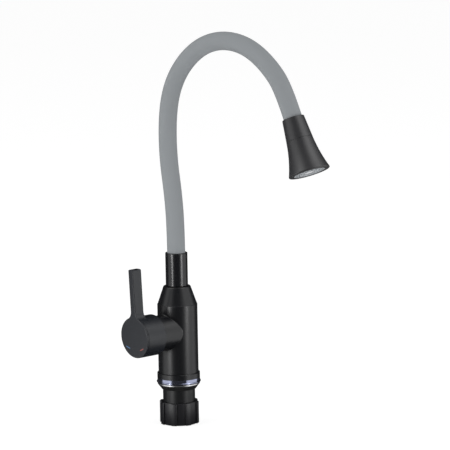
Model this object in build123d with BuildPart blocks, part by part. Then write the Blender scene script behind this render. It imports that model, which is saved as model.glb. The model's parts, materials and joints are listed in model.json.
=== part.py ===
# Flexible kitchen tap: deck-mounted mixer with a side lever, a bendable hose spout and a two-mode spray head.
# Millimetres. Z is up, the spout reaches towards -Y and the lever stands on the -X side.
# The origin is on the body's axis, at the level of the worktop.
import os
from math import atan2, cos, degrees, radians, sin, sqrt, tan

from build123d import *

os.makedirs("parts", exist_ok=True)

# Clearances
thread_clearance = 0.1
seal_clearance = 0.03
turning_clearance = 0.1
sliding_clearance = 0.2
seam_gap = 0.3
disc_film = 0.05
match_tolerance = 0.001

# Worktop fixing
shank_radius = 16.5
shank_wall = 2.7
shank_reach = 40.7
shank_engagement = 12.3
shank_edge = 0.6
washer_inset = 0.2
washer_thickness = 1.3
washer_edge = 0.25
gasket_inset = 0.9
gasket_rim = 0.9
gasket_height = 5.2
gasket_toe = 0.5
ring_lift = 0.3
ring_height = 4.5
ring_bead = 0.8
ring_bead_height = 1.6
base_seal_section = 0.8
base_seal_groove_width = 2.2
seal_sides = 8
nut_top_depth = 17.9
nut_height = 22.5
nut_wall = 1.6
nut_rib_stand = 1.6
nut_rib_width = 6.0
nut_edge = 0.5
nut_rib_count = 8
nut_rib_bearing = 32.0

# Body
body_radius = 20.0
body_shoulder = 9.3
flange_stand = 1.3
flange_height = 5.5
flange_floor = 2.0
flange_edge = 0.4
branch_height = 53.7
branch_inset = 2.1
branch_reach = 31.3
branch_fillet = 0.8
spigot_radius = 15.4
spigot_height = 4.5
cone_height = 17.9
cone_top_radius = 13.4
cone_step = 0.4
cone_edge = 1.2
inlet_spacing = 13.5
inlet_radius = 5.0
inlet_depth = 10.0
waterway_radius = 3.0
outlet_bore_radius = 2.6
port_overrun = 2.0

# Cartridge, measured outwards along the branch from the body's axis
cartridge_seat = 6.0
cartridge_radius = 12.5
cartridge_bore_radius = 10.5
cartridge_flange_radius = 14.4
cartridge_flange_thickness = 2.0
cartridge_flange_at = 22.0
cartridge_top = 29.6
cartridge_lip = 1.6
cartridge_lip_radius = 8.6
base_lift = 0.6
base_thickness = 3.4
port_radius = 2.1
port_rise = 2.5
port_side = 5.6
outlet_drop = 5.8
port_seal_radius = 3.5
port_seal_thickness = 1.6
inlet_slot_length = 6.3
peg_radius = 1.2
peg_length = 2.0
peg_places = ((8.8, 0.0), (-6.2, 7.6))
disc_thickness = 2.8
fixed_disc_radius = 10.2
moving_disc_radius = 8.6
moving_disc_thickness = 3.0
mixing_depth = 1.7
mixing_radius = 5.0
mixing_drop = 2.2
carrier_width = 11.0
carrier_length = 12.0
carrier_lug = 1.2
carrier_lug_width = 4.0
carrier_thickness = 5.1
rotor_radius = 10.4
rotor_foot = 0.4
rotor_neck_radius = 8.5
rotor_neck_length = 5.6
pivot_out = 27.0
pin_radius = 1.5
pin_length = 16.0
pin_edge = 0.2
spindle_arm = 8.0
spindle_ball_radius = 2.4
spindle_arm_radius = 1.7
spindle_boss_radius = 3.3
spindle_square = 6.4
spindle_reach = 50.0
spindle_edge = 0.5
flow_travel = 20.0
nut_ring_radius = 15.0
nut_ring_reach = 33.0
nut_ring_slots = 4
nut_ring_slot_width = 3.0
nut_ring_slot_bearing = 45.0
cover_inset = 1.6
cover_rim = 1.2
cover_reach = 36.5
cover_wall = 1.2
cover_mouth_radius = 9.4

# Handle
cap_gap = 0.9
cap_wall = 1.6
cap_edge = 1.0
cap_front = 57.1
cap_floor = 5.0
face_lean = 2.8
lever_width = 7.0
lever_depth = 11.3
lever_rise = 68.5
lever_corner = 1.4
lever_foot_fillet = 8.5
lever_edge = 0.9
handle_boss_radius = 6.5
handle_boss_start = 42.0
grub_radius = 2.5
grub_length = 5.6
grub_out = 47.0
grub_socket = 2.5
plug_radius = 3.0
plug_thickness = 1.6
face_line_back = 1.8
face_line_width = 0.4
face_line_depth = 0.3

# Swivel
chamber_depth = 17.0
nipple_radius = 8.1
nipple_gap = 1.0
nipple_flange_radius = 13.0
nipple_flange_thickness = 2.2
glide_thickness = 0.8
swivel_seal_width = 2.2
swivel_seal_groove = 1.5
swivel_seal_rises = (3.0, 9.0)
stem_radius = 9.0
ferrule_radius = 11.05
ferrule_height = 33.2
ferrule_edge = 0.6
hose_seat_rise = 13.6
link_grip = 11.0
barb_radius = 2.45
barb_bore = 1.6
barb_length = 15.0
nipple_bore = 5.0
nipple_web = 6.0

# Hose spout
hose_radius = 9.0
hose_wall = 1.6
link_radius = 7.0
link_bore_radius = 3.8
ball_radius = 5.92
socket_clearance = 0.08
link_neck_radius = 4.7
link_shoulder = 5.3
socket_lip = 0.8
water_hose_radius = 3.5
water_hose_bore = 2.5
fillet_share = 0.3
head_tilt = 23.3
head_run = 28.3

# Corners of the hose's route, forward of the body's axis and above the hose's seat
route_corners = (
    (0.0, 37.0),
    (-2.1, 73.0),
    (-9.8, 117.0),
    (-8.9, 160.3),
    (0.8, 190.4),
    (21.4, 214.7),
    (48.4, 231.2),
    (79.5, 237.3),
    (110.9, 232.6),
    (138.4, 217.3),
    (160.9, 194.6),
)

# Spray head, measured along its axis from the top of the collar
collar_length = 21.5
collar_top_radius = 10.7
collar_seam_radius = 12.9
collar_seat = 17.2
collar_web = 2.2
collar_cavity_radius = 9.9
sleeve_grip = 13.6
coupling_flange = 2.0
collar_edge = 0.5
collar_bore = 9.15
coupling_flange_radius = 8.8
coupling_washer_thickness = 1.0
neck_radius = 5.2
neck_bore = 3.0
neck_length = 8.0
core_radius = 9.6
core_length = 11.0
bell_length = 33.2
bell_waist = 16.4
bell_waist_share = 0.6
bell_radius = 20.5
bell_edge = 0.9
bell_chamber_waist = 14.4
bell_chamber_radius = 11.2
bell_chamber_slope = 2.0
bell_ledge = 1.0
clip_place = 25.2
clip_width = 1.2
clip_depth = 0.7
clip_stand = 0.6
clip_gap = 3.0
core_seal_place = 27.0
core_seal_section = 0.55
core_chamber_radius = 8.6
core_chamber_depth = 1.2
core_face = 0.8
core_slot_ring = 6.3
core_slot_length = 5.6
core_slot_width = 1.8
mode_travel = 90.0
mode_disc_thickness = 2.4
mode_jet_ring = 4.8
mode_jet_radius = 1.3
mode_spray_ring = 8.55
mode_spray_radius = 0.8
plate_thickness = 2.6
plate_radius = 15.2
plate_inset = 0.2
plate_tube_radius = 7.6
plate_tube_wall = 1.2
aerator_length = 9.0
aerator_wall = 1.1
screen_thickness = 1.2
screen_slot_width = 1.1
screen_slot_pitch = 2.2
nozzle_radius = 0.9
nozzle_stand = 0.5
nozzle_bore = 0.4
nozzle_ring_radii = (10.2, 13.0)
nozzle_ring_counts = (12, 18)

# Values worked out from the sizes above
port_places = ((port_rise, port_side), (port_rise, -port_side), (-outlet_drop, 0))
flange_radius = body_radius + flange_stand
washer_radius = flange_radius - washer_inset
gasket_radius = flange_radius - gasket_inset
base_bore = shank_radius + sliding_clearance
base_seal_radius = (flange_radius + base_bore) / 2
nut_core_radius = shank_radius + thread_clearance + nut_wall
nut_rib_radius = nut_core_radius + nut_rib_stand
ring_floor = washer_thickness + ring_lift
flange_bottom = ring_floor + ring_height
body_bottom = flange_bottom + flange_floor
flange_top = flange_bottom + flange_height
shank_bore = shank_radius - shank_wall
shank_top = body_bottom + shank_engagement
branch_radius = body_radius - branch_inset
body_top = branch_height + branch_radius + body_shoulder
cone_top = body_top + cone_height
spigot_top = body_top + spigot_height
chamber_floor = spigot_top - chamber_depth
nipple_start = chamber_floor + nipple_gap
swivel_seal_levels = [nipple_start + rise for rise in swivel_seal_rises]
flange_seat = spigot_top + glide_thickness
stem_start = flange_seat + nipple_flange_thickness
ferrule_start = cone_top + sliding_clearance
hose_seat = cone_top + hose_seat_rise
link_seat = hose_seat - link_grip
nipple_bore_top = link_seat - nipple_web
base_top = cartridge_seat + base_lift + base_thickness
fixed_top = base_top + disc_thickness
moving_start = fixed_top + disc_film
moving_top = moving_start + moving_disc_thickness
carrier_top = moving_top + carrier_thickness
rotor_start = moving_top + rotor_foot
rotor_shoulder = cartridge_top - cartridge_lip - sliding_clearance
rotor_top = rotor_shoulder + rotor_neck_length
half_travel = flow_travel / 2
disc_offset = spindle_arm * sin(radians(half_travel))
ball_pocket = carrier_top - pivot_out + spindle_arm + spindle_ball_radius + sliding_clearance
cover_radius = branch_radius - cover_inset
cap_radius = branch_radius + cap_gap + cap_wall
cap_rear = branch_reach + 2 * seam_gap
face_slope = tan(radians(face_lean))
coupling_seat = collar_seat - coupling_washer_thickness - coupling_flange
core_start = collar_seat + collar_web
core_end = core_start + core_length
neck_end = core_start + neck_length
clip_inner = core_radius - clip_depth
clip_outer = core_radius + clip_stand
bell_start = collar_length + sliding_clearance
bell_end = bell_start + bell_length
mode_disc_end = core_end + sliding_clearance / 2 + mode_disc_thickness

axis_z = Axis.Z
branch = Plane(origin=(0, 0, branch_height), x_dir=(0, 0, 1), z_dir=(-1, 0, 0))
branch_axis = Axis((0, 0, branch_height), (-1, 0, 0))


def ahead(forward, level):
    """A point in the spout's plane, so far forward of the body's axis and so high above the worktop."""
    return Vector(0, -forward, level)


def section_of(place):
    """The plane through a turning axis, where x is the radius and y runs along the axis."""
    return Plane(origin=place.origin, x_dir=place.x_dir, z_dir=-place.y_dir)


def turned_face(place, corners):
    """A closed outline of (radius, height) corners, to be turned about the place's axis."""
    with BuildSketch(section_of(place)) as outline:
        with BuildLine():
            Polyline(*corners, close=True)
        make_face()
    return outline.sketch


def ring_face(place, outer, inner):
    """A flat ring that lies on a place."""
    with BuildSketch(place) as ring:
        Circle(outer)
        Circle(inner, mode=Mode.SUBTRACT)
    return ring.sketch


def seal_face(place, radius, height, section):
    """The section of a seal ring of a given mean radius, drawn with flats that touch its groove."""
    with BuildSketch(section_of(place)) as outline:
        with Locations((radius, height)):
            RegularPolygon(section, seal_sides, major_radius=False, rotation=180 / seal_sides)
    return outline.sketch


def rims(piece, radius):
    """The circular edges of one radius on a piece."""
    circles = piece.edges().filter_by(GeomType.CIRCLE)
    return circles.filter_by(lambda rim: abs(rim.radius - radius) < match_tolerance)


def save(piece, name):
    """Labels a finished piece and writes it."""
    piece.part.label = name
    export_step(piece.part, f"parts/{name}.step")


column = Plane.XY

# Worktop fixing, from the nut upwards
with BuildPart() as mounting_shank:
    extrude(ring_face(column.offset(-shank_reach), shank_radius, shank_bore), amount=shank_reach + shank_top)
    chamfer(rims(mounting_shank, shank_radius).sort_by(axis_z)[0], shank_edge)
save(mounting_shank, "mounting_shank")

with BuildPart() as fixing_nut:
    nut_floor = column.offset(-nut_top_depth - nut_height)
    with BuildSketch(nut_floor):
        Circle(nut_core_radius)
        with PolarLocations(0, nut_rib_count, start_angle=nut_rib_bearing):
            with Locations((nut_rib_radius / 2, 0)):
                Rectangle(nut_rib_radius, nut_rib_width)
        Circle(nut_rib_radius, mode=Mode.INTERSECT)
        Circle(shank_radius + thread_clearance, mode=Mode.SUBTRACT)
    extrude(amount=nut_height)
    chamfer(rims(fixing_nut, nut_rib_radius).group_by(axis_z)[-1], nut_edge)
save(fixing_nut, "fixing_nut")

with BuildPart() as cone_gasket:
    gasket_bore = shank_radius + thread_clearance
    revolve(
        turned_face(
            column,
            [
                (gasket_bore, 0),
                (gasket_radius, 0),
                (gasket_radius, -gasket_rim),
                (gasket_bore + gasket_toe, -gasket_height),
                (gasket_bore, -gasket_height),
            ],
        ),
        axis=axis_z,
    )
save(cone_gasket, "cone_gasket")

with BuildPart() as steel_washer:
    extrude(ring_face(column, washer_radius, base_bore), amount=washer_thickness)
    chamfer(rims(steel_washer, washer_radius).sort_by(axis_z)[-1], washer_edge)
save(steel_washer, "steel_washer")

with BuildPart() as base_o_ring:
    base_seal_height = washer_thickness + base_seal_section
    revolve(seal_face(column, base_seal_radius, base_seal_height, base_seal_section), axis=axis_z)
save(base_o_ring, "base_o_ring")

with BuildPart() as deck_ring:
    groove_in = base_seal_radius - base_seal_groove_width / 2
    groove_out = base_seal_radius + base_seal_groove_width / 2
    groove_top = washer_thickness + 2 * base_seal_section
    with BuildSketch(Plane.XZ):
        with BuildLine():
            Polyline(
                (flange_radius, ring_floor),
                (groove_out, ring_floor),
                (groove_out, groove_top),
                (groove_in, groove_top),
                (groove_in, ring_floor),
                (base_bore, ring_floor),
                (base_bore, flange_bottom),
                (flange_radius, flange_bottom),
                (flange_radius, ring_floor + ring_bead_height),
            )
            ThreePointArc(
                (flange_radius, ring_floor + ring_bead_height),
                (flange_radius + ring_bead, ring_floor + ring_bead_height / 2),
                (flange_radius, ring_floor),
            )
        make_face()
    revolve(axis=axis_z)
save(deck_ring, "deck_ring")

with BuildPart() as base_flange:
    revolve(
        turned_face(
            column,
            [
                (base_bore, flange_bottom),
                (flange_radius, flange_bottom),
                (flange_radius, flange_top),
                (body_radius + seal_clearance, flange_top),
                (body_radius + seal_clearance, body_bottom),
                (base_bore, body_bottom),
            ],
        ),
        axis=axis_z,
    )
    chamfer(rims(base_flange, flange_radius).sort_by(axis_z)[-1], flange_edge)
save(base_flange, "base_flange")

# Body casting with its side branch, waterways and chambers
with BuildPart() as body_shell:
    with BuildSketch(column.offset(body_bottom)):
        Circle(body_radius)
    extrude(amount=body_top - body_bottom)
    with BuildSketch(branch):
        Circle(branch_radius)
    extrude(amount=branch_reach)
    fillet(body_shell.edges().filter_by(GeomType.BSPLINE), branch_fillet)
    chamfer(rims(body_shell, body_radius).sort_by(axis_z)[-1], cone_step)
    with BuildSketch(column.offset(body_top)):
        Circle(spigot_radius)
    extrude(amount=spigot_height)
    # socket for the shank, then the two threaded inlets in its roof and their waterways
    with BuildSketch(column.offset(body_bottom)):
        Circle(shank_radius)
    extrude(amount=shank_engagement, mode=Mode.SUBTRACT)
    with BuildSketch(column.offset(shank_top)):
        with GridLocations(0, inlet_spacing, 1, 2):
            Circle(inlet_radius)
    extrude(amount=inlet_depth, mode=Mode.SUBTRACT)
    with BuildSketch(column.offset(shank_top)):
        with GridLocations(0, inlet_spacing, 1, 2):
            Circle(waterway_radius)
    extrude(amount=branch_height + port_rise + port_radius - shank_top, mode=Mode.SUBTRACT)
    # ports from the cartridge seat into the waterways
    with BuildSketch(branch.offset(-port_overrun)):
        with Locations(*port_places):
            Circle(port_radius)
    extrude(amount=cartridge_seat + port_overrun, mode=Mode.SUBTRACT)
    with BuildSketch(column.offset(branch_height - outlet_drop - port_radius)):
        Circle(outlet_bore_radius)
    extrude(amount=chamber_floor - branch_height + outlet_drop + port_radius, mode=Mode.SUBTRACT)
    # chamber for the swivelling nipple
    with BuildSketch(column.offset(chamber_floor)):
        Circle(nipple_radius + turning_clearance)
    extrude(amount=spigot_top - chamber_floor, mode=Mode.SUBTRACT)
    # stepped bore for the cartridge and its nut, with two peg holes in the seat
    with BuildSketch(branch.offset(cartridge_seat)):
        Circle(cartridge_radius + thread_clearance)
    extrude(amount=branch_reach - cartridge_seat, mode=Mode.SUBTRACT)
    with BuildSketch(branch.offset(cartridge_flange_at)):
        Circle(nut_ring_radius)
    extrude(amount=branch_reach - cartridge_flange_at, mode=Mode.SUBTRACT)
    with BuildSketch(branch.offset(cartridge_seat + base_lift - peg_length)):
        with Locations(*peg_places):
            Circle(peg_radius + seal_clearance)
    extrude(amount=peg_length, mode=Mode.SUBTRACT)
save(body_shell, "body_shell")

with BuildPart() as neck_cone:
    cone_bore = spigot_radius + thread_clearance
    web_floor = stem_start + glide_thickness
    neck_hole = stem_radius + turning_clearance
    revolve(
        turned_face(
            column,
            [
                (cone_bore, body_top),
                (body_radius - cone_step, body_top),
                (cone_top_radius, cone_top),
                (neck_hole, cone_top),
                (neck_hole, web_floor),
                (cone_bore, web_floor),
            ],
        ),
        axis=axis_z,
    )
    fillet(rims(neck_cone, cone_top_radius), cone_edge)
save(neck_cone, "neck_cone")

# Cartridge, from its seat outwards
with BuildPart() as port_seals:
    with BuildSketch(branch.offset(cartridge_seat)):
        with Locations(*port_places):
            Circle(port_seal_radius)
            Circle(port_radius, mode=Mode.SUBTRACT)
    extrude(amount=port_seal_thickness)
save(port_seals, "port_seals")

with BuildPart() as cartridge_base:
    with BuildSketch(branch.offset(cartridge_seat + base_lift)):
        Circle(cartridge_radius)
    extrude(amount=base_thickness)
    with BuildSketch(branch.offset(cartridge_seat + base_lift)):
        with Locations(*port_places):
            Circle(port_seal_radius)
    extrude(amount=port_seal_thickness - base_lift, mode=Mode.SUBTRACT)
    with BuildSketch(branch.offset(cartridge_seat)):
        with Locations(*port_places):
            Circle(port_radius)
    extrude(amount=base_top - cartridge_seat, mode=Mode.SUBTRACT)
    with BuildSketch(branch.offset(cartridge_seat + base_lift - peg_length)):
        with Locations(*peg_places):
            Circle(peg_radius)
    extrude(amount=peg_length)
save(cartridge_base, "cartridge_base")

with BuildPart() as fixed_ceramic_disc:
    with BuildSketch(branch.offset(base_top)):
        Circle(fixed_disc_radius)
        for side in (port_side, -port_side):
            bearing = degrees(atan2(side, port_rise))
            with Locations((port_rise, side)):
                SlotOverall(inlet_slot_length, 2 * port_radius, rotation=bearing + 90, mode=Mode.SUBTRACT)
        with Locations((-outlet_drop, 0)):
            Circle(port_radius, mode=Mode.SUBTRACT)
    extrude(amount=disc_thickness)
save(fixed_ceramic_disc, "fixed_ceramic_disc")

with BuildPart() as cartridge_housing:
    revolve(
        turned_face(
            branch,
            [
                (cartridge_bore_radius, base_top),
                (cartridge_radius, base_top),
                (cartridge_radius, cartridge_flange_at),
                (cartridge_flange_radius, cartridge_flange_at),
                (cartridge_flange_radius, cartridge_flange_at + cartridge_flange_thickness),
                (cartridge_radius, cartridge_flange_at + cartridge_flange_thickness),
                (cartridge_radius, cartridge_top),
                (cartridge_lip_radius, cartridge_top),
                (cartridge_lip_radius, cartridge_top - cartridge_lip),
                (cartridge_bore_radius, cartridge_top - cartridge_lip),
            ],
        ),
        axis=branch_axis,
    )
save(cartridge_housing, "cartridge_housing")

# The moving disc and its carrier stand low when the tap is closed and rise as the lever opens it
closed = Plane(origin=(0, 0, branch_height - disc_offset), x_dir=(0, 0, 1), z_dir=(-1, 0, 0))

with BuildPart() as moving_ceramic_disc:
    with BuildSketch(closed.offset(moving_start)):
        Circle(moving_disc_radius)
    extrude(amount=moving_disc_thickness)
    with BuildSketch(closed.offset(moving_start)):
        with Locations((-mixing_drop, 0)):
            Circle(mixing_radius)
    extrude(amount=mixing_depth, mode=Mode.SUBTRACT)
    with BuildSketch(closed.offset(moving_top - carrier_lug)):
        with GridLocations(carrier_length, 0, 2, 1):
            Rectangle(2 * carrier_lug, carrier_lug_width)
    extrude(amount=carrier_lug, mode=Mode.SUBTRACT)
save(moving_ceramic_disc, "moving_ceramic_disc")

with BuildPart() as disc_carrier:
    with BuildSketch(closed.offset(moving_top)):
        Rectangle(carrier_length, carrier_width)
    extrude(amount=carrier_thickness)
    with BuildSketch(closed.offset(moving_top - carrier_lug)):
        with GridLocations(carrier_length - carrier_lug, 0, 2, 1):
            Rectangle(carrier_lug, carrier_lug_width)
    extrude(amount=carrier_lug)
    with BuildSketch(closed.offset(carrier_top)):
        Circle(spindle_ball_radius + turning_clearance)
    extrude(amount=-ball_pocket, mode=Mode.SUBTRACT)
save(disc_carrier, "disc_carrier")

with BuildPart() as cartridge_rotor:
    revolve(
        turned_face(
            branch,
            [
                (0, rotor_start),
                (rotor_radius, rotor_start),
                (rotor_radius, rotor_shoulder),
                (rotor_neck_radius, rotor_shoulder),
                (rotor_neck_radius, rotor_top),
                (0, rotor_top),
            ],
        ),
        axis=branch_axis,
    )
    # guide in which the carrier slides
    with BuildSketch(branch.offset(rotor_start)):
        Rectangle(carrier_length + 2 * disc_offset + 2 * sliding_clearance, carrier_width + sliding_clearance)
    extrude(amount=carrier_top + sliding_clearance - rotor_start, mode=Mode.SUBTRACT)
    # slot in which the spindle swings
    slot_up = spindle_square / 2 + 2 * seam_gap
    slot_down = spindle_square / 2 + (rotor_top - pivot_out) * tan(radians(flow_travel)) + 2 * seam_gap
    with BuildSketch(branch.offset(carrier_top)):
        with Locations(((slot_up - slot_down) / 2, 0)):
            Rectangle(slot_up + slot_down, spindle_square + 2 * sliding_clearance)
    extrude(amount=rotor_top - carrier_top, mode=Mode.SUBTRACT)
    with BuildSketch(Plane(origin=(-pivot_out, -pin_length / 2, branch_height), z_dir=(0, 1, 0))):
        Circle(pin_radius + seal_clearance)
    extrude(amount=pin_length, mode=Mode.SUBTRACT)
save(cartridge_rotor, "cartridge_rotor")

with BuildPart() as spindle_pin:
    with BuildSketch(Plane(origin=(-pivot_out, -pin_length / 2, branch_height), z_dir=(0, 1, 0))):
        Circle(pin_radius)
    extrude(amount=pin_length)
    chamfer(spindle_pin.edges(), pin_edge)
save(spindle_pin, "spindle_pin")

with BuildPart() as spindle:
    pivot = Vector(-pivot_out, 0, branch_height)
    arm_way = Vector(cos(radians(half_travel)), 0, -sin(radians(half_travel)))
    with BuildSketch(Plane(origin=pivot, z_dir=arm_way)):
        Circle(spindle_arm_radius)
    extrude(amount=spindle_arm)
    with Locations(pivot + arm_way * spindle_arm):
        Sphere(spindle_ball_radius)
    with Locations(pivot):
        Sphere(spindle_boss_radius)
    with BuildSketch(branch.offset(pivot_out)):
        Rectangle(spindle_square, spindle_square)
    extrude(amount=spindle_reach - pivot_out)
    chamfer(spindle.faces().sort_by(Axis.X)[0].edges(), spindle_edge)
    with BuildSketch(Plane(origin=(-pivot_out, -pin_length / 2, branch_height), z_dir=(0, 1, 0))):
        Circle(pin_radius + turning_clearance)
    extrude(amount=pin_length, mode=Mode.SUBTRACT)
save(spindle, "spindle")

with BuildPart() as cartridge_nut:
    nut_seat = cartridge_flange_at + cartridge_flange_thickness
    ring_inner = cartridge_radius + sliding_clearance
    extrude(
        ring_face(branch.offset(nut_seat), nut_ring_radius - thread_clearance, ring_inner),
        amount=nut_ring_reach - nut_seat,
    )
    with BuildSketch(branch.offset(branch_reach)):
        slot_ring = (nut_ring_radius + ring_inner) / 2
        with PolarLocations(slot_ring, nut_ring_slots, start_angle=nut_ring_slot_bearing):
            Rectangle(2 * nut_ring_slot_width, nut_ring_slot_width)
    extrude(amount=nut_ring_reach - branch_reach, mode=Mode.SUBTRACT)
save(cartridge_nut, "cartridge_nut")

with BuildPart() as cartridge_cover:
    with BuildSketch(section_of(branch)):
        with BuildLine():
            cover_inner = nut_ring_radius + thread_clearance
            rim_top = branch_reach + cover_rim
            Polyline((cover_inner, branch_reach), (cover_radius, branch_reach), (cover_radius, rim_top))
            dome = RadiusArc((cover_radius, rim_top), (cover_mouth_radius, cover_reach), -cover_radius)
            Polyline(
                (cover_mouth_radius, cover_reach),
                (cover_mouth_radius, cover_reach - cover_wall),
                (cover_inner, nut_ring_reach + sliding_clearance),
                (cover_inner, branch_reach),
            )
        make_face()
    revolve(axis=branch_axis)
save(cartridge_cover, "cartridge_cover")

# Handle: a round cap and an upright lever in one casting, whose face leans out at the top
face = Plane(
    origin=(-cap_front, 0, branch_height),
    x_dir=(0, -1, 0),
    z_dir=(-cos(radians(face_lean)), 0, -sin(radians(face_lean))),
)
lever_back = face.offset(-lever_depth)
beyond_face = (lever_rise + lever_edge) * face_slope

with BuildPart() as handle:
    # the outline seen from the front, drawn through the depth that the leaning face needs
    with BuildSketch(branch.offset(cap_rear)):
        Circle(cap_radius)
        with Locations((lever_rise / 2, 0)):
            Rectangle(lever_rise, lever_width)
        foot = sqrt(cap_radius**2 - (lever_width / 2) ** 2)
        fillet(vertices().filter_by(lambda v: abs(v.X - foot) < match_tolerance), lever_foot_fillet)
        fillet(vertices().filter_by(lambda v: abs(v.X - lever_rise) < match_tolerance), lever_corner)
    extrude(amount=cap_front + beyond_face - cap_rear)
    split(bisect_by=lever_back, keep=Keep.TOP)
    with BuildSketch(branch.offset(cap_rear)):
        Circle(cap_radius)
    extrude(amount=cap_front + beyond_face - cap_rear)
    split(bisect_by=face, keep=Keep.BOTTOM)
    front_rim = handle.faces().sort_by(Axis(face.origin, face.z_dir))[-1].edges()
    fillet(front_rim, lever_edge)
    back_rim = handle.faces().filter_by(face).sort_by(axis_z)[-1].edges()
    fillet(back_rim, lever_edge)
    chamfer(rims(handle, cap_radius).sort_by(branch_axis)[0], cap_edge)
    # hollow of the cap, with a boss for the spindle
    with BuildSketch(branch.offset(cap_rear)):
        Circle(cap_radius - cap_wall)
    extrude(amount=cap_front - cap_floor - cap_rear, mode=Mode.SUBTRACT)
    with BuildSketch(branch.offset(handle_boss_start)):
        Circle(handle_boss_radius)
    extrude(amount=cap_front - cap_floor - handle_boss_start)
    with BuildSketch(branch.offset(handle_boss_start)):
        Rectangle(spindle_square + sliding_clearance, spindle_square + sliding_clearance)
    extrude(amount=spindle_reach + sliding_clearance - handle_boss_start, mode=Mode.SUBTRACT)
    # threaded hole for the grub screw, and the hole in the cap through which its key goes in
    under_stem = branch_height - spindle_square / 2
    with BuildSketch(column.offset(branch_height - handle_boss_radius)):
        with Locations((-grub_out, 0)):
            Circle(grub_radius)
    extrude(amount=handle_boss_radius - spindle_square / 2, mode=Mode.SUBTRACT)
    with BuildSketch(column.offset(branch_height - cap_radius)):
        with Locations((-grub_out, 0)):
            Circle(plug_radius)
    extrude(amount=2 * cap_wall, mode=Mode.SUBTRACT)
    # fine line round the cap behind its face, which stops at the lever's foot
    with BuildSketch(face.offset(-face_line_back)):
        Circle(cap_radius + seam_gap)
        Circle(cap_radius - face_line_depth, mode=Mode.SUBTRACT)
        with Locations((0, cap_radius)):
            Rectangle(lever_width + 2 * lever_foot_fillet, cap_radius, mode=Mode.SUBTRACT)
    extrude(amount=-face_line_width, mode=Mode.SUBTRACT)
save(handle, "handle")

with BuildPart() as grub_screw:
    with BuildSketch(column.offset(under_stem)):
        with Locations((-grub_out, 0)):
            Circle(grub_radius)
    extrude(amount=-grub_length)
    with BuildSketch(column.offset(under_stem - grub_length)):
        with Locations((-grub_out, 0)):
            RegularPolygon(grub_socket / 2, 6, major_radius=False)
    extrude(amount=grub_socket, mode=Mode.SUBTRACT)
save(grub_screw, "grub_screw")

with BuildPart() as screw_plug:
    with BuildSketch(column.offset(branch_height - cap_radius + seam_gap)):
        with Locations((-grub_out, 0)):
            Circle(plug_radius - seal_clearance)
    extrude(amount=plug_thickness)
save(screw_plug, "screw_plug")

# Swivel: the nipple that carries the hose turns in the body under the neck cone
with BuildPart() as spout_nipple:
    groove_floor = nipple_radius - swivel_seal_groove
    revolve(
        turned_face(
            column,
            [
                (nipple_bore, nipple_start),
                (nipple_radius, nipple_start),
                (nipple_radius, flange_seat),
                (nipple_flange_radius, flange_seat),
                (nipple_flange_radius, stem_start),
                (stem_radius, stem_start),
                (stem_radius, hose_seat),
                (link_radius + thread_clearance, hose_seat),
                (link_radius + thread_clearance, link_seat),
                (barb_radius, link_seat),
                (barb_radius, link_seat + barb_length),
                (barb_bore, link_seat + barb_length),
                (barb_bore, nipple_bore_top),
                (nipple_bore, nipple_bore_top),
            ],
        ),
        axis=axis_z,
    )
    for level in swivel_seal_levels:
        extrude(
            ring_face(column.offset(level - swivel_seal_width / 2), nipple_radius + seam_gap, groove_floor),
            amount=swivel_seal_width,
            mode=Mode.SUBTRACT,
        )
save(spout_nipple, "spout_nipple")

with BuildPart() as swivel_o_rings:
    swivel_seal_section = (nipple_radius + turning_clearance - seal_clearance - groove_floor) / 2
    for level in swivel_seal_levels:
        revolve(seal_face(column, groove_floor + swivel_seal_section, level, swivel_seal_section), axis=axis_z)
save(swivel_o_rings, "swivel_o_rings")

for name, level, inner in (
    ("lower_glide_ring", spigot_top, nipple_radius),
    ("upper_glide_ring", stem_start, stem_radius),
):
    with BuildPart() as glide_ring:
        ring = ring_face(column.offset(level), nipple_flange_radius, inner + turning_clearance)
        extrude(ring, amount=glide_thickness)
    save(glide_ring, name)

with BuildPart() as hose_ferrule:
    ferrule_bore = hose_radius + thread_clearance
    extrude(ring_face(column.offset(ferrule_start), ferrule_radius, ferrule_bore), amount=ferrule_height)
    fillet(rims(hose_ferrule, ferrule_radius), ferrule_edge)
save(hose_ferrule, "hose_ferrule")

# Hose spout: a chain of ball-jointed links, which holds the shape, under a soft sleeve
corners = [ahead(forward, hose_seat + rise) for forward, rise in route_corners]
head_way = ahead(sin(radians(head_tilt)), -cos(radians(head_tilt)))
collar_top = corners[-1] + head_way * head_run
middles = [(first + second) * 0.5 for first, second in zip(corners, corners[1:])]


def stretch(i, start, end):
    """The route's line round one corner, from a point before it to a point after it."""
    before = corners[i - 1] if i else start
    after = corners[i + 1] if i + 1 < len(corners) else end
    way_in = (corners[i] - start).normalized()
    way_out = (end - corners[i]).normalized()
    share = fillet_share * min((corners[i] - before).length, (after - corners[i]).length)
    bend_start = corners[i] - way_in * share
    bend_end = corners[i] + way_out * share
    Line(start, bend_start)
    TangentArc(bend_start, bend_end, tangent=way_in)
    Line(bend_end, end)


def route(start, end):
    """The whole route's line between two points on its end runs."""
    stops = [start, *middles, end]
    for i in range(len(corners)):
        stretch(i, stops[i], stops[i + 1])


def tube(line, outer, inner):
    """A tube along a line."""
    sweep(ring_face(Plane(origin=line @ 0, x_dir=(1, 0, 0), z_dir=line % 0), outer, inner), path=line)


hose_start = ahead(0, hose_seat)
link_start = ahead(0, link_seat)
sleeve_end = collar_top + head_way * sleeve_grip
chain_end = sleeve_end - head_way * seam_gap

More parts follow.
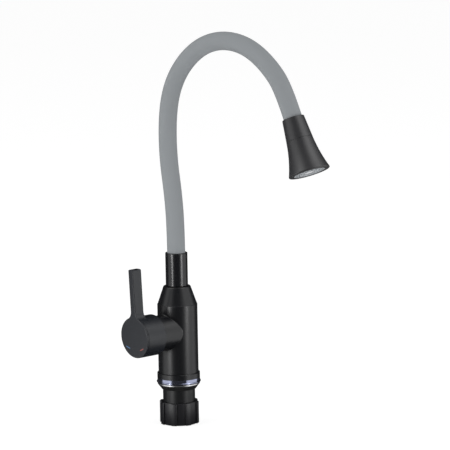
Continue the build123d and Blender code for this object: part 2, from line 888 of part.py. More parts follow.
for i in range(len(corners)):
    with BuildPart() as link:
        start = middles[i - 1] if i else link_start
        end = middles[i] if i < len(middles) else chain_end
        way_in = (corners[i] - start).normalized()
        way_out = (end - corners[i]).normalized()
        last = i == len(corners) - 1
        tube_start = start + way_in * link_shoulder if i else start
        tube_end = end if last else end + way_out * socket_lip
        with BuildLine() as middle_line:
            stretch(i, tube_start, tube_end)
        tube(middle_line.wire(), link_radius, link_bore_radius)
        if i:
            # the ball that sits in the link below
            ball = Plane(origin=start, x_dir=(1, 0, 0), z_dir=way_in)
            with BuildSketch(section_of(ball)):
                with BuildLine():
                    ball_toe = (link_bore_radius, -sqrt(ball_radius**2 - link_bore_radius**2))
                    ball_neck = (link_neck_radius, sqrt(ball_radius**2 - link_neck_radius**2))
                    ThreePointArc(ball_toe, (ball_radius, 0), ball_neck)
                    Polyline(
                        ball_neck,
                        (link_radius, link_shoulder),
                        (link_bore_radius, link_shoulder),
                        ball_toe,
                    )
                make_face()
            revolve(axis=Axis(start, way_in))
        if not last:
            # the socket that holds the ball of the link above
            socket = Plane(origin=end, x_dir=(1, 0, 0), z_dir=way_out)
            with BuildSketch(section_of(socket)):
                with BuildLine():
                    hollow = CenterArc((0, 0), ball_radius + socket_clearance, -90, 180)
                    Line(hollow @ 1, hollow @ 0)
                make_face()
            revolve(axis=Axis(end, way_out), mode=Mode.SUBTRACT)
    save(link, f"gooseneck_link_{i}")

with BuildPart() as hose_sleeve:
    with BuildLine() as sleeve_line:
        route(hose_start, sleeve_end)
    tube(sleeve_line.wire(), hose_radius, hose_radius - hose_wall)
save(hose_sleeve, "hose_sleeve")

with BuildPart() as water_hose:
    with BuildLine() as water_line:
        route(link_start + ahead(0, seam_gap), collar_top + head_way * (coupling_seat - seam_gap))
    tube(water_line.wire(), water_hose_radius, water_hose_bore)
save(water_hose, "water_hose")

# Spray head
head = Plane(origin=collar_top, x_dir=(1, 0, 0), z_dir=head_way)
head_axis = Axis(collar_top, head_way)

with BuildPart() as head_collar:
    revolve(
        turned_face(
            head,
            [
                (collar_bore, 0),
                (collar_top_radius, 0),
                (collar_seam_radius, collar_length),
                (collar_cavity_radius, collar_length),
                (collar_cavity_radius, core_start),
                (neck_radius + thread_clearance, core_start),
                (neck_radius + thread_clearance, collar_seat),
                (collar_bore, collar_seat),
            ],
        ),
        axis=head_axis,
    )
    fillet(rims(head_collar, collar_top_radius), collar_edge)
save(head_collar, "head_collar")

with BuildPart() as hose_coupling:
    revolve(
        turned_face(
            head,
            [
                (barb_bore, coupling_seat - barb_length),
                (barb_radius, coupling_seat - barb_length),
                (barb_radius, coupling_seat),
                (coupling_flange_radius, coupling_seat),
                (coupling_flange_radius, coupling_seat + coupling_flange),
                (neck_radius, coupling_seat + coupling_flange),
                (neck_radius, neck_end),
                (neck_bore, neck_end),
                (neck_bore, coupling_seat + coupling_flange),
                (barb_bore, coupling_seat + coupling_flange),
            ],
        ),
        axis=head_axis,
    )
save(hose_coupling, "hose_coupling")

with BuildPart() as coupling_washer:
    washer_place = head.offset(coupling_seat + coupling_flange)
    washer_ring = ring_face(washer_place, coupling_flange_radius, neck_radius + sliding_clearance)
    extrude(washer_ring, amount=coupling_washer_thickness)
save(coupling_washer, "coupling_washer")

with BuildPart() as head_core:
    chamber_top = core_end - core_face - core_chamber_depth
    revolve(
        turned_face(
            head,
            [
                (neck_radius + thread_clearance, core_start),
                (core_radius, core_start),
                (core_radius, core_end),
                (0, core_end),
                (0, core_end - core_face),
                (core_chamber_radius, core_end - core_face),
                (core_chamber_radius, chamber_top),
                (neck_radius + thread_clearance, chamber_top),
            ],
        ),
        axis=head_axis,
    )
    with BuildSketch(head.offset(core_end)):
        with PolarLocations(core_slot_ring, 2):
            SlotOverall(core_slot_length, core_slot_width)
    extrude(amount=-core_face, mode=Mode.SUBTRACT)
    clip_start = head.offset(clip_place - clip_width / 2)
    clip_groove = ring_face(clip_start, core_radius + seam_gap, clip_inner - thread_clearance)
    extrude(clip_groove, amount=clip_width, mode=Mode.SUBTRACT)
    seal_groove_floor = core_radius - 2 * core_seal_section + turning_clearance - 2 * seal_clearance
    seal_start = head.offset(core_seal_place - core_seal_section)
    seal_groove = ring_face(seal_start, core_radius + seam_gap, seal_groove_floor)
    extrude(seal_groove, amount=2 * core_seal_section, mode=Mode.SUBTRACT)
save(head_core, "head_core")

with BuildPart() as core_o_ring:
    core_seal_radius = seal_groove_floor + core_seal_section
    revolve(seal_face(head, core_seal_radius, core_seal_place, core_seal_section), axis=head_axis)
save(core_o_ring, "core_o_ring")

with BuildPart() as bell_clip:
    with BuildSketch(clip_start):
        Circle(clip_outer)
        Circle(clip_inner, mode=Mode.SUBTRACT)
        with Locations((clip_outer, 0)):
            Rectangle(2 * clip_depth + clip_outer - clip_inner, clip_gap, mode=Mode.SUBTRACT)
    extrude(amount=clip_width)
save(bell_clip, "bell_clip")

with BuildPart() as head_bell:
    with BuildSketch(section_of(head)):
        with BuildLine():
            bell_bore = core_radius + turning_clearance
            plate_seat = bell_end - plate_inset - plate_thickness
            ThreePointArc(
                (collar_seam_radius, bell_start),
                (bell_waist, bell_start + bell_waist_share * bell_length),
                (bell_radius, bell_end),
            )
            Polyline(
                (bell_radius, bell_end),
                (plate_radius + thread_clearance, bell_end),
                (plate_radius + thread_clearance, plate_seat),
                (plate_radius - bell_ledge, plate_seat),
            )
            ThreePointArc(
                (plate_radius - bell_ledge, plate_seat),
                (bell_chamber_waist, bell_start + bell_waist_share * bell_length),
                (bell_chamber_radius, mode_disc_end + bell_chamber_slope),
            )
            Polyline(
                (bell_chamber_radius, mode_disc_end + bell_chamber_slope),
                (bell_bore, mode_disc_end),
                (bell_bore, bell_start),
                (collar_seam_radius, bell_start),
            )
        make_face()
    revolve(axis=head_axis)
    fillet(rims(head_bell, bell_radius), bell_edge)
    groove_start = head.offset(clip_place - clip_width / 2 - turning_clearance)
    bell_groove = ring_face(groove_start, clip_outer + turning_clearance, bell_bore - seam_gap)
    extrude(bell_groove, amount=clip_width + 2 * turning_clearance, mode=Mode.SUBTRACT)
save(head_bell, "head_bell")

with BuildPart() as mode_disc:
    with BuildSketch(head.offset(core_end + sliding_clearance / 2)):
        Circle(core_radius)
        with PolarLocations(mode_jet_ring, 2):
            Circle(mode_jet_radius, mode=Mode.SUBTRACT)
        with PolarLocations(mode_spray_ring, 2, start_angle=mode_travel):
            Circle(mode_spray_radius, mode=Mode.SUBTRACT)
    extrude(amount=mode_disc_thickness)
save(mode_disc, "mode_disc")

with BuildPart() as spray_plate:
    with BuildSketch(head.offset(plate_seat)):
        Circle(plate_radius)
        Circle(plate_tube_radius - plate_tube_wall, mode=Mode.SUBTRACT)
        for nozzle_ring, count in zip(nozzle_ring_radii, nozzle_ring_counts):
            with PolarLocations(nozzle_ring, count):
                Circle(nozzle_radius, mode=Mode.SUBTRACT)
    extrude(amount=plate_thickness)
    tube_face = ring_face(head.offset(mode_disc_end), plate_tube_radius, plate_tube_radius - plate_tube_wall)
    extrude(tube_face, amount=plate_seat - mode_disc_end)
save(spray_plate, "spray_plate")

with BuildPart() as spray_nozzles:
    for nozzle_ring, count in zip(nozzle_ring_radii, nozzle_ring_counts):
        with BuildSketch(head.offset(plate_seat)):
            with PolarLocations(nozzle_ring, count):
                Circle(nozzle_radius)
                Circle(nozzle_bore, mode=Mode.SUBTRACT)
        extrude(amount=plate_thickness + nozzle_stand)
save(spray_nozzles, "spray_nozzles")

with BuildPart() as aerator_housing:
    aerator_radius = plate_tube_radius - plate_tube_wall - thread_clearance
    aerator_start = bell_end - plate_inset - aerator_length
    extrude(
        ring_face(head.offset(aerator_start), aerator_radius, aerator_radius - aerator_wall),
        amount=aerator_length,
    )
save(aerator_housing, "aerator_housing")

with BuildPart() as aerator_screen:
    with BuildSketch(head.offset(bell_end - plate_inset - screen_thickness)):
        Circle(aerator_radius - aerator_wall)
        with GridLocations(screen_slot_pitch, screen_slot_pitch, 3, 3):
            Rectangle(screen_slot_width, screen_slot_width, mode=Mode.SUBTRACT)
    extrude(amount=screen_thickness)
save(aerator_screen, "aerator_screen")
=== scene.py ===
import json
import math

import bpy
from mathutils import Matrix, Vector

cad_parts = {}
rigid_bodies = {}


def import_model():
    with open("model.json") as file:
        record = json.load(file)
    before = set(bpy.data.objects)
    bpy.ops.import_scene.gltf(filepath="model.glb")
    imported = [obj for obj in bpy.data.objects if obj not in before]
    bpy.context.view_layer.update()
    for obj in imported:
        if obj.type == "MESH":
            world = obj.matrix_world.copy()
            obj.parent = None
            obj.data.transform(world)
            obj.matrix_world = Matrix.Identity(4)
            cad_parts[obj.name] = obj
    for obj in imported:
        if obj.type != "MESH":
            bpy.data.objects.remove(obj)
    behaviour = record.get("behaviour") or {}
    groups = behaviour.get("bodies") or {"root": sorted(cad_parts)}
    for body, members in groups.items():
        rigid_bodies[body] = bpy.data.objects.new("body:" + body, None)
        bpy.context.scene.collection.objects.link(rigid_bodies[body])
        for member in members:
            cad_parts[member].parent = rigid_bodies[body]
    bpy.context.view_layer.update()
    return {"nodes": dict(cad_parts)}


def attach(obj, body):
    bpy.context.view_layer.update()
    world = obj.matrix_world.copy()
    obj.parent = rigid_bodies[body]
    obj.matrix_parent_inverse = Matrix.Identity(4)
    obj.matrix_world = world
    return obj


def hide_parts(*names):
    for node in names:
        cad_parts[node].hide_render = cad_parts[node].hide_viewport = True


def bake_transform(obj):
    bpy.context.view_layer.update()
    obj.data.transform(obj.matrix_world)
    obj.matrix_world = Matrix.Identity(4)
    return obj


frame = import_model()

MM = 0.001


# Camera, at the photograph's viewing angle
def stand_camera():
    """A long lens 3.3 m away, a little above the worktop and to the lever's side."""
    azimuth, elevation, roll = math.radians(-42.0), math.radians(9.2), math.radians(1.0)
    distance = 3.3
    aside, above, sink = 46.1, 160.2, 2.6
    level_right = Vector((math.cos(azimuth), math.sin(azimuth), 0))
    back = Vector((
        math.sin(azimuth) * math.cos(elevation),
        -math.cos(azimuth) * math.cos(elevation),
        math.sin(elevation),
    ))
    level_up = back.cross(level_right)
    right = level_right * math.cos(roll) - level_up * math.sin(roll)
    up = level_right * math.sin(roll) + level_up * math.cos(roll)
    place = right * aside * MM + up * above * MM + back * distance - Vector((0, 0, sink)) * MM
    data = bpy.data.cameras.new("camera")
    data.lens = 264.0
    data.sensor_width = 36.0
    data.clip_end = 50.0
    camera = bpy.data.objects.new("camera", data)
    bpy.context.collection.objects.link(camera)
    turn = Matrix((right, up, back)).transposed()
    camera.matrix_world = Matrix.Translation(place) @ turn.to_4x4()
    bpy.context.scene.camera = camera


stand_camera()


# Colour and material helpers
def ink(code):
    """An sRGB hex colour as linear light."""
    channels = [int(code[i:i + 2], 16) / 255 for i in (1, 3, 5)]
    linear = [c / 12.92 if c <= 0.04045 else ((c + 0.055) / 1.055) ** 2.4 for c in channels]
    return (*linear, 1.0)


def add_node(material, kind, settings=None, links=None):
    """Adds one node to a material, sets its properties or sockets, and links its inputs."""
    node = material.node_tree.nodes.new(kind)
    for name, value in (settings or {}).items():
        if isinstance(name, str) and hasattr(node, name):
            setattr(node, name, value)
        else:
            node.inputs[name].default_value = value
    for name, source in (links or {}).items():
        material.node_tree.links.new(source, node.inputs[name])
    return node


def new_material(name):
    """An empty node material."""
    material = bpy.data.materials.new(name)
    material.use_nodes = True
    material.node_tree.nodes.clear()
    return material


def surface(name, shade, grain, height, mottle, **sockets):
    """A finish whose height follows a fine grain, and whose colour drifts a little over the piece.

    shade is the colour, grain the size of the texture and height its depth, both in mm,
    and mottle the share by which the colour drifts, in patches of about 18 mm. The real
    textures are about a tenth of a millimetre across, which is too fine to show in the
    render: they are drawn as coarse as half a pixel of it.
    """
    patch = 18
    material = new_material(name)
    place = add_node(material, "ShaderNodeTexCoord").outputs["Object"]
    speck = add_node(
        material, "ShaderNodeTexNoise",
        {"Scale": 1 / (grain * MM), "Detail": 3.0, "Roughness": 0.6},
        {"Vector": place},
    )
    drift = add_node(
        material, "ShaderNodeTexNoise",
        {"Scale": 1 / (patch * MM), "Detail": 2.0},
        {"Vector": place},
    )
    colour = ink(shade)
    tint = add_node(
        material, "ShaderNodeMix",
        {
            "data_type": "RGBA",
            6: tuple(c * (1 - mottle) for c in colour[:3]) + (1.0,),
            7: tuple(min(1.0, c * (1 + mottle)) for c in colour[:3]) + (1.0,),
        },
        {0: drift.outputs["Fac"]},
    )
    bump = add_node(
        material, "ShaderNodeBump",
        {"Strength": 0.5, "Distance": height * MM},
        {"Height": speck.outputs["Fac"]},
    )
    shader = add_node(
        material, "ShaderNodeBsdfPrincipled", sockets,
        {"Base Color": tint.outputs[2], "Normal": bump.outputs["Normal"]},
    )
    add_node(material, "ShaderNodeOutputMaterial", None, {"Surface": shader.outputs["BSDF"]})
    return material


finishes = {
    # Satin lacquer sprayed on turned brass: nearly black, with soft strips of light
    "satin_lacquer": surface("satin_lacquer", "#121316", 0.5, 0.003, 0.08, Roughness=0.32),
    # The same lacquer on a drawn tube, which is smoother and shines more
    "tube_lacquer": surface("tube_lacquer", "#121316", 0.6, 0.002, 0.06, Roughness=0.27),
    # Powder coat on a zinc die casting: a matter, greyer black
    "zinc_powder_coat": surface(
        "zinc_powder_coat", "#181b21", 0.5, 0.012, 0.06, Roughness=0.42),
    # ABS from a textured mould: dark grey with a broad soft sheen
    "textured_abs": surface("textured_abs", "#2b2b2d", 0.6, 0.012, 0.05, Roughness=0.42),
    # Black oxide on cut brass: dark, with a thin bright edge on each thread
    "oxidised_brass": surface("oxidised_brass", "#131416", 0.4, 0.01, 0.1, Roughness=0.4),
    # Glass-filled nylon, moulded: black with a waxy sheen
    "moulded_nylon": surface("moulded_nylon", "#16161a", 0.7, 0.03, 0.1, Roughness=0.42),
    # Cast silicone rubber: even grey without shine
    "cast_silicone": surface("cast_silicone", "#898d90", 0.6, 0.02, 0.03, Roughness=0.75),
    # Polished chrome with its blue cast
    "blue_chrome": surface(
        "blue_chrome", "#a0a5bd", 0.8, 0.002, 0.02, Metallic=1.0, Roughness=0.16),
    # Pressed stainless steel, lightly brushed
    "pressed_steel": surface(
        "pressed_steel", "#cfd0d2", 0.4, 0.006, 0.05, Metallic=1.0, Roughness=0.3),
    # Moulded EPDM rubber: matt black
    "moulded_rubber": surface("moulded_rubber", "#161617", 0.5, 0.03, 0.1, Roughness=0.7),
    # Nozzle silicone: grey and slightly waxy
    "nozzle_silicone": surface("nozzle_silicone", "#94989b", 0.4, 0.01, 0.05, Roughness=0.6),
    # Brass as turned: yellow metal with fine tool marks
    "turned_brass": surface(
        "turned_brass", "#b39258", 0.4, 0.01, 0.06, Metallic=1.0, Roughness=0.35),
    # Aluminium die casting
    "cast_aluminium": surface(
        "cast_aluminium", "#b9bbbd", 0.5, 0.015, 0.05, Metallic=1.0, Roughness=0.42),
    # Acetal, moulded: waxy white
    "white_acetal": surface("white_acetal", "#d9d8d2", 0.5, 0.01, 0.03, Roughness=0.5),
    # Acetal with grey pigment
    "grey_acetal": surface("grey_acetal", "#5d6166", 0.5, 0.01, 0.05, Roughness=0.5),
    # Lapped alumina: smooth ivory
    "lapped_alumina": surface("lapped_alumina", "#ebe9e2", 0.5, 0.002, 0.02, Roughness=0.15),
    # ABS with a vacuum-metal coat: silvery, softer than steel
    "metallised_abs": surface(
        "metallised_abs", "#c3c7cb", 0.6, 0.008, 0.04, Metallic=0.25, Roughness=0.38),
    # Pad-printed enamel of the cold mark and the hot mark
    "cold_enamel": surface("cold_enamel", "#456c97", 0.5, 0.004, 0.05, Roughness=0.45),
    "hot_enamel": surface("hot_enamel", "#8c4a46", 0.5, 0.004, 0.05, Roughness=0.45),
}

worn_by = {
    "satin_lacquer": ("body_shell", "neck_cone", "base_flange"),
    "tube_lacquer": ("hose_ferrule",),
    "zinc_powder_coat": ("handle",),
    "textured_abs": ("head_collar", "head_bell"),
    "oxidised_brass": ("mounting_shank",),
    "moulded_nylon": ("fixing_nut", "screw_plug", "cartridge_cover"),
    "blue_chrome": ("deck_ring",),
    "pressed_steel": ("steel_washer", "spindle_pin", "grub_screw", "bell_clip", "aerator_screen"),
    "moulded_rubber": (
        "cone_gasket", "base_o_ring", "port_seals", "swivel_o_rings", "core_o_ring",
        "coupling_washer", "water_hose",
    ),
    "nozzle_silicone": ("spray_nozzles",),
    "turned_brass": ("cartridge_nut", "spout_nipple", "hose_coupling", "spindle"),
    "cast_aluminium": tuple(f"gooseneck_link_{i}" for i in range(11)),
    "cast_silicone": ("hose_sleeve",),
    "white_acetal": ("lower_glide_ring", "upper_glide_ring", "head_core"),
    "grey_acetal": (
        "cartridge_base", "cartridge_housing", "cartridge_rotor", "disc_carrier", "mode_disc",
    ),
    "lapped_alumina": ("fixed_ceramic_disc", "moving_ceramic_disc"),
    "metallised_abs": ("spray_plate", "aerator_housing"),
}
for finish, nodes in worn_by.items():
    for name in nodes:
        data = frame["nodes"][name].data
        data.materials.clear()
        data.materials.append(finishes[finish])


# Piece helpers
def deselect():
    """Leaves nothing selected."""
    bpy.ops.object.select_all(action="DESELECT")


def hold(piece):
    """Makes one piece the only one selected and active."""
    deselect()
    piece.select_set(True)
    bpy.context.view_layer.objects.active = piece


def modify(piece, kind, **settings):
    """Puts a modifier on a piece and applies it."""
    hold(piece)
    modifier = piece.modifiers.new(kind.lower(), kind)
    for name, value in settings.items():
        setattr(modifier, name, value)
    bpy.ops.object.modifier_apply(modifier=modifier.name)


def settle(piece):
    """Puts the piece's place, turn and scale into its mesh."""
    hold(piece)
    bpy.ops.object.transform_apply(location=True, rotation=True, scale=True)


def dress(piece, name, finish):
    """Names a finished piece and gives it its material."""
    hold(piece)
    bpy.ops.object.shade_smooth_by_angle(angle=math.radians(35))
    piece.name = name
    piece.data.name = name
    piece.data.materials.clear()
    piece.data.materials.append(finishes[finish])


def open_tube(radius, wall, foot, head):
    """A tube round the body's axis with slightly rounded edges. Its sizes are in mm."""
    deselect()
    bpy.ops.mesh.primitive_cylinder_add(
        vertices=96, radius=radius * MM, depth=(head - foot) * MM, end_fill_type="NOTHING",
        location=(0, 0, (head + foot) / 2 * MM),
    )
    tube = bpy.context.active_object
    settle(tube)
    modify(tube, "SOLIDIFY", thickness=wall * MM, offset=-1.0)
    modify(
        tube, "BEVEL", width=0.4 * MM, segments=2, limit_method="ANGLE",
        angle_limit=math.radians(40),
    )
    return tube


# Shank: a hollow core with an M33 x 1.5 thread wound round it. A turn's section is a triangle
# whose side is a little under the pitch
shank_foot, shank_head = -40.7, 20.4
core_radius, core_wall = 15.75, 1.95
thread_radius, thread_pitch, thread_turns = 16.5, 1.5, 40
tooth_radius = thread_pitch * 0.97 / math.sqrt(3)
tooth_middle = Vector((thread_radius - tooth_radius, 0, shank_foot + thread_pitch / 2)) * MM

shank_core = open_tube(core_radius, core_wall, shank_foot, shank_head)

deselect()
bpy.ops.mesh.primitive_circle_add(
    vertices=3, radius=tooth_radius * MM, fill_type="NOTHING", location=tooth_middle,
    rotation=(math.radians(90), 0, 0),
)
shank_thread = bpy.context.active_object
bpy.ops.object.mode_set(mode="EDIT")
bpy.ops.mesh.select_all(action="SELECT")
bpy.ops.transform.rotate(
    value=math.radians(90), orient_axis="Y", center_override=tooth_middle)
bpy.ops.object.mode_set(mode="OBJECT")
settle(shank_thread)
modify(
    shank_thread, "SCREW", angle=math.tau, screw_offset=thread_pitch * MM, iterations=thread_turns,
    steps=48, render_steps=48, axis="Z", use_smooth_shade=False, use_merge_vertices=False,
)
hold(shank_thread)
bpy.ops.object.mode_set(mode="EDIT")
bpy.ops.mesh.select_all(action="SELECT")
bpy.ops.mesh.fill_holes(sides=3)
bpy.ops.mesh.normals_make_consistent(inside=False)
bpy.ops.object.mode_set(mode="OBJECT")
for piece, name in ((shank_core, "shank_core"), (shank_thread, "shank_thread")):
    dress(piece, name, "oxidised_brass")
    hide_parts("mounting_shank")
    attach(piece, "tap_body")


# Nut: a tube with eight upright ribs, rounded along their edges
nut_foot, nut_head = -40.4, -17.9
nut_radius, nut_wall = 18.2, 1.55
rib_count, rib_start = 8, 32
rib_depth, rib_width, rib_rise, rib_round = 2.6, 6.0, 1.5, 0.8

ribbed_nut = open_tube(nut_radius, nut_wall, nut_foot, nut_head)
deselect()
bpy.ops.mesh.primitive_cube_add(
    size=1,
    location=((nut_radius + rib_rise - rib_depth / 2) * MM, 0, (nut_head + nut_foot) / 2 * MM),
)
first_rib = bpy.context.active_object
first_rib.scale = (rib_depth * MM, rib_width * MM, (nut_head - nut_foot) * MM)
settle(first_rib)
modify(first_rib, "BEVEL", width=rib_round * MM, segments=3)
ribs = []
for step in range(rib_count):
    rib = first_rib.copy()
    rib.data = first_rib.data.copy()
    bpy.context.collection.objects.link(rib)
    turn = math.radians(rib_start + 360 / rib_count * step)
    rib.matrix_world = Matrix.Rotation(turn, 4, "Z")
    settle(rib)
    ribs.append(rib)
bpy.data.objects.remove(first_rib)
hold(ribbed_nut)
for rib in ribs:
    rib.select_set(True)
bpy.ops.object.join()
dress(ribbed_nut, "ribbed_nut", "moulded_nylon")
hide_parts("fixing_nut")
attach(ribbed_nut, "tap_body")


# Cold and hot marks: two short bars of enamel set slanting low on the cap's leaning face
face_lean = math.radians(2.8)
face_middle = Vector((-57.1, 0, 53.7)) * MM
mark_size = (0.12, 5.6, 0.95)
mark_aside, mark_drop = 10.2, 10.6
marks = (("cold_mark", 1, 17, "cold_enamel"), ("hot_mark", -1, 25, "hot_enamel"))
for name, side, slant, finish in marks:
    deselect()
    bpy.ops.mesh.primitive_cube_add(size=1)
    mark = bpy.context.active_object
    mark.scale = [size * MM for size in mark_size]
    mark.rotation_euler = (side * math.radians(slant), 0, 0)
    settle(mark)
    modify(mark, "BEVEL", width=0.05 * MM, segments=2)
    place = Matrix.Translation(face_middle) @ Matrix.Rotation(-face_lean, 4, "Y")
    shift = Matrix.Translation(Vector((0, side * mark_aside, -mark_drop)) * MM)
    mark.matrix_world = place @ shift
    settle(mark)
    dress(mark, name, finish)
    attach(mark, "lever")


# Hose: the route's corners in the spout's plane, each its distance forward of the body's axis
# and its rise above the hose's seat, in mm
hose_seat = 112.4
head_tilt = math.radians(23.3)
collar_reach, sleeve_grip = 28.3, 13.6
sleeve_radius, sleeve_wall = 9.0, 1.6
tube_foot, tube_grip = 101.7, 13.9
tube_radius, tube_wall = 3.5, 1.0
corners = (
    (0.0, 37.0), (-2.1, 73.0), (-9.8, 117.0), (-8.9, 160.3), (0.8, 190.4), (21.4, 214.7),
    (48.4, 231.2), (79.5, 237.3), (110.9, 232.6), (138.4, 217.3), (160.9, 194.6),
)
corners = [Vector((0, -forward, hose_seat + rise)) * MM for forward, rise in corners]
head_way = Vector((0, -math.sin(head_tilt), -math.cos(head_tilt)))
collar_top = corners[-1] + head_way * collar_reach * MM
chain = ["spout"] + [f"link_{k}" for k in range(1, 11)]
ball_joints = (4, 5, 7, 8, 10)
ball_share = 0.995


def keep_part(piece, middle):
    """Deletes all of a cut piece but the part that lies at a point."""
    hold(piece)
    bpy.ops.object.mode_set(mode="EDIT")
    bpy.ops.mesh.select_all(action="DESELECT")
    bpy.ops.object.mode_set(mode="OBJECT")
    nearest = min(piece.data.vertices, key=lambda vertex: (vertex.co - middle).length)
    nearest.select = True
    bpy.ops.object.mode_set(mode="EDIT")
    bpy.ops.mesh.select_linked()
    bpy.ops.mesh.select_all(action="INVERT")
    bpy.ops.mesh.delete(type="VERT")
    bpy.ops.object.mode_set(mode="OBJECT")


def hose_run(whole, name, lower, upper, inside, wall, finish, slot, node):
    """One run of the hose between two planes, each a point and a direction up the route."""
    piece = whole.copy()
    piece.data = whole.data.copy()
    bpy.context.collection.objects.link(piece)
    hold(piece)
    bpy.ops.object.mode_set(mode="EDIT")
    for plane, side in ((lower, "clear_inner"), (upper, "clear_outer")):
        if plane:
            bpy.ops.mesh.select_all(action="SELECT")
            bpy.ops.mesh.bisect(plane_co=plane[0], plane_no=plane[1].normalized(), **{side: True})
    bpy.ops.object.mode_set(mode="OBJECT")
    keep_part(piece, inside)
    modify(piece, "SOLIDIFY", thickness=wall, offset=-1.0)
    dress(piece, name, finish)
    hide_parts(node)
    return piece


def hose_skin(name, start, end, radius, wall, finish, slot, node):
    """A smooth tube along the route, in runs that each hold one joint.

    The runs of the first joints and of the sideways joints are placed once and ride no link; the
    end runs ride the spout and the top link. At the other joints two straight runs meet on a
    ball and turn on it. The ball is a little narrower than the hose, so that it stays under the
    hose's flats at rest.
    """
    curve = bpy.data.curves.new(name, "CURVE")
    curve.dimensions = "3D"
    spline = curve.splines.new("NURBS")
    stops = [start, *corners, end]
    spline.points.add(len(stops) - 1)
    for point, stop in zip(spline.points, stops):
        point.co = (*stop, 1.0)
    spline.order_u = 3
    spline.use_endpoint_u = True
    spline.resolution_u = 16
    curve.bevel_depth = radius
    curve.bevel_resolution = 20
    whole = bpy.data.objects.new(name, curve)
    bpy.context.collection.objects.link(whole)
    hold(whole)
    bpy.ops.object.convert(target="MESH")
    whole = bpy.context.view_layer.objects.active
    planes = [None]
    for j in range(len(corners)):
        way = (corners[j] - stops[j]).normalized() + (stops[j + 2] - corners[j]).normalized()
        planes.append((corners[j], way))
    planes.append(None)
    look = (wall, finish, slot, node)
    for i in range(len(corners) + 1):
        first, second = stops[i], stops[i + 1]
        middle = (first + second) / 2
        if i in ball_joints:
            cut = (middle, second - first)
            lower_run = hose_run(
                whole, f"{name}_{i}", planes[i], cut, (first + middle) / 2, *look)
            upper_run = hose_run(
                whole, f"{name}_{i}_on", cut, planes[i + 1], (middle + second) / 2, *look)
            deselect()
            bpy.ops.mesh.primitive_uv_sphere_add(
                segments=44, ring_count=22, radius=radius * ball_share, location=middle)
            ball = bpy.context.active_object
            settle(ball)
            dress(ball, f"{name}_{i}_ball", finish)
            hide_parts(node)
            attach(lower_run, chain[i - 1])
            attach(ball, chain[i - 1])
            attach(upper_run, chain[i])
        else:
            run = hose_run(whole, f"{name}_{i}", planes[i], planes[i + 1], middle, *look)
            if i in (0, len(corners)):
                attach(run, chain[min(i, 10)])
            else:
                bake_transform(run)
    bpy.data.objects.remove(whole)


hose_skin(
    "sleeve", Vector((0, 0, hose_seat)) * MM, collar_top + head_way * sleeve_grip * MM,
    sleeve_radius * MM, sleeve_wall * MM, "cast_silicone", "grey_silicone", "hose_sleeve",
)
hose_skin(
    "water_tube", Vector((0, 0, tube_foot)) * MM, collar_top + head_way * tube_grip * MM,
    tube_radius * MM, tube_wall * MM, "moulded_rubber", "black_rubber", "water_hose",
)


# Aerator: a woven wire screen in a thin ring, square to the head's axis
head_length, screen_sink = 54.9, 0.2
ring_radius, ring_wall, ring_height = 5.2, 0.45, 1.0
screen_radius, wire_radius, wire_pitch, wire_lift = 5.15, 0.16, 0.86, 0.12
screen_place = (
    Matrix.Translation(collar_top + head_way * (head_length - screen_sink - ring_height / 2) * MM)
    @ head_way.to_track_quat("Z", "X").to_matrix().to_4x4()
)
strands = []
for along, height in ((0, -wire_lift), (1, wire_lift)):
    for step in range(-5, 6):
        across = step * wire_pitch
        length = 2 * math.sqrt(screen_radius ** 2 - across ** 2)
        deselect()
        bpy.ops.mesh.primitive_cylinder_add(
            vertices=8, radius=wire_radius * MM, depth=length * MM,
            rotation=(0, math.radians(90), 0),
        )
        strand = bpy.context.active_object
        settle(strand)
        turn = Matrix.Rotation(math.radians(90 * along), 4, "Z")
        shift = Matrix.Translation(Vector((0, across, height)) * MM)
        strand.matrix_world = screen_place @ turn @ shift
        settle(strand)
        strands.append(strand)
deselect()
bpy.ops.mesh.primitive_cylinder_add(
    vertices=48, radius=ring_radius * MM, depth=ring_height * MM, end_fill_type="NOTHING")
screen_ring = bpy.context.active_object
modify(screen_ring, "SOLIDIFY", thickness=ring_wall * MM, offset=-1.0)
screen_ring.matrix_world = screen_place
settle(screen_ring)
for strand in strands:
    strand.select_set(True)
bpy.ops.object.join()
dress(screen_ring, "woven_screen", "pressed_steel")
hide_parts("aerator_screen")
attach(screen_ring, "bell")


# Stage: a pale floor under the nut, and a white surround
def in_view(material):
    """1 for a camera, glossy or transmission ray, which see the background, and 0 for others."""
    ray = add_node(material, "ShaderNodeLightPath")
    seen = ray.outputs["Is Camera Ray"]
    for kind in ("Is Glossy Ray", "Is Transmission Ray"):
        either = add_node(
            material, "ShaderNodeMath", {"operation": "MAXIMUM"}, {0: seen, 1: ray.outputs[kind]})
        seen = either.outputs[0]
    return seen


floor_level = -40.75 * MM
bpy.ops.mesh.primitive_plane_add(size=20, location=(0, 0, floor_level))
floor = bpy.context.active_object
floor.name = "floor"
material = new_material("pale_floor")
paint = add_node(material, "ShaderNodeBsdfDiffuse", {"Color": ink("#e8e8e8")})
soft_paint = add_node(material, "ShaderNodeBsdfDiffuse", {"Color": ink("#8f8f8f")})
white = add_node(material, "ShaderNodeEmission", {"Color": (1, 1, 1, 1), "Strength": 0.82})
shown = add_node(
    material, "ShaderNodeAddShader", None, {0: soft_paint.outputs[0], 1: white.outputs[0]})
both = add_node(
    material, "ShaderNodeMixShader", None,
    {0: in_view(material), 1: paint.outputs[0], 2: shown.outputs[0]},
)
add_node(material, "ShaderNodeOutputMaterial", None, {"Surface": both.outputs[0]})
floor.data.materials.append(material)

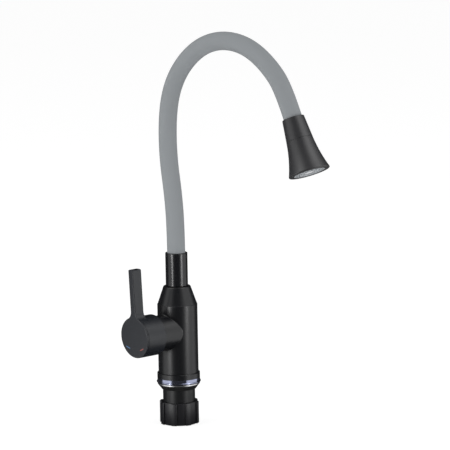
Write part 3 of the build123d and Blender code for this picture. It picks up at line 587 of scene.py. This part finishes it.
world = bpy.data.worlds.new("studio")
bpy.context.scene.world = world
world.use_nodes = True
world.node_tree.nodes.clear()
soft = add_node(world, "ShaderNodeBackground", {"Color": (1, 1, 1, 1), "Strength": 0.55})
white = add_node(world, "ShaderNodeBackground", {"Color": (1, 1, 1, 1), "Strength": 1.0})
both = add_node(
    world, "ShaderNodeMixShader", None,
    {0: in_view(world), 1: soft.outputs[0], 2: white.outputs[0]},
)
add_node(world, "ShaderNodeOutputWorld", None, {"Surface": both.outputs[0]})


# A dark tent and a dark mat that only reflections see. The tent is open at the tap's two sides,
# slatted beside the openings, and closed before, behind and above the tap. Its spans are in
# degrees round from the camera. Both float just clear of the floor, and of each other
tent_height, tent_radius, tent_lift = 1.1, 1.7, 0.0005
mat_radius, mat_lift = 0.11, 0.0006
side_openings = ((40, 85), (-68, -40))
slatted_spans = ((85, 118), (-99, -68))
roof_openings = ((25, 70),)
slat_width = 5
camera_turn = 42.0


def within(turn, spans):
    """Whether an angle lies in one of the spans."""
    return any(low < turn < high for low, high in spans)


deselect()
bpy.ops.mesh.primitive_cylinder_add(
    vertices=72, radius=tent_radius, depth=tent_height, end_fill_type="TRIFAN",
    location=(0, 0, floor_level + tent_lift + tent_height / 2),
)
tent = bpy.context.active_object
tent.name = "dark_tent"
settle(tent)
bpy.ops.object.mode_set(mode="EDIT")
bpy.ops.mesh.select_all(action="DESELECT")
bpy.ops.object.mode_set(mode="OBJECT")
for side in tent.data.polygons:
    turn = math.degrees(math.atan2(side.center.x, -side.center.y)) + camera_turn
    turn = (turn + 180) % 360 - 180
    in_roof = side.center.z > tent_height - 0.1
    if in_roof:
        side.select = within(turn, roof_openings)
    else:
        between_slats = within(turn, slatted_spans) and round(turn / slat_width) % 2 == 0
        side.select = within(turn, side_openings) or between_slats
bpy.ops.object.mode_set(mode="EDIT")
bpy.ops.mesh.delete(type="FACE")
bpy.ops.object.mode_set(mode="OBJECT")
cloth = new_material("black_cloth")
weave = add_node(cloth, "ShaderNodeBsdfDiffuse", {"Color": ink("#404040")})
add_node(cloth, "ShaderNodeOutputMaterial", None, {"Surface": weave.outputs[0]})
deselect()
bpy.ops.mesh.primitive_circle_add(
    vertices=48, radius=mat_radius, fill_type="NGON", location=(0, 0, floor_level + mat_lift))
mat = bpy.context.active_object
mat.name = "dark_mat"
for flag in (tent, mat):
    flag.data.materials.append(cloth)
    flag.visible_camera = False
    flag.visible_diffuse = False
    flag.visible_transmission = False
    flag.visible_shadow = False


def softbox(name, azimuth, distance, level, width, height, power):
    """A rectangular lamp that faces the tap, with its middle at a level above the worktop."""
    a = math.radians(azimuth)
    data = bpy.data.lights.new(name, "AREA")
    data.shape = "RECTANGLE"
    data.size, data.size_y, data.energy = width, height, power
    lamp = bpy.data.objects.new(name, data)
    bpy.context.collection.objects.link(lamp)
    middle = Vector((0, -0.06, 0.12))
    lamp.location = (middle.x + distance * math.sin(a), middle.y - distance * math.cos(a), level)
    lamp.rotation_euler = (lamp.location - middle).to_track_quat("Z", "Y").to_euler()
    lamp.visible_camera = False


softbox("left_strip", -94, 0.75, 0.04, 0.15, 0.18, 1.7)
softbox("right_strip", 14, 0.75, 0.04, 0.15, 0.18, 1.1)
softbox("left_softbox", -122, 1.5, 1.9, 1.5, 1.2, 16.0)
softbox("right_softbox", 23, 1.5, 1.9, 1.5, 1.2, 14.0)

scene = bpy.context.scene
scene.view_settings.view_transform = "Standard"
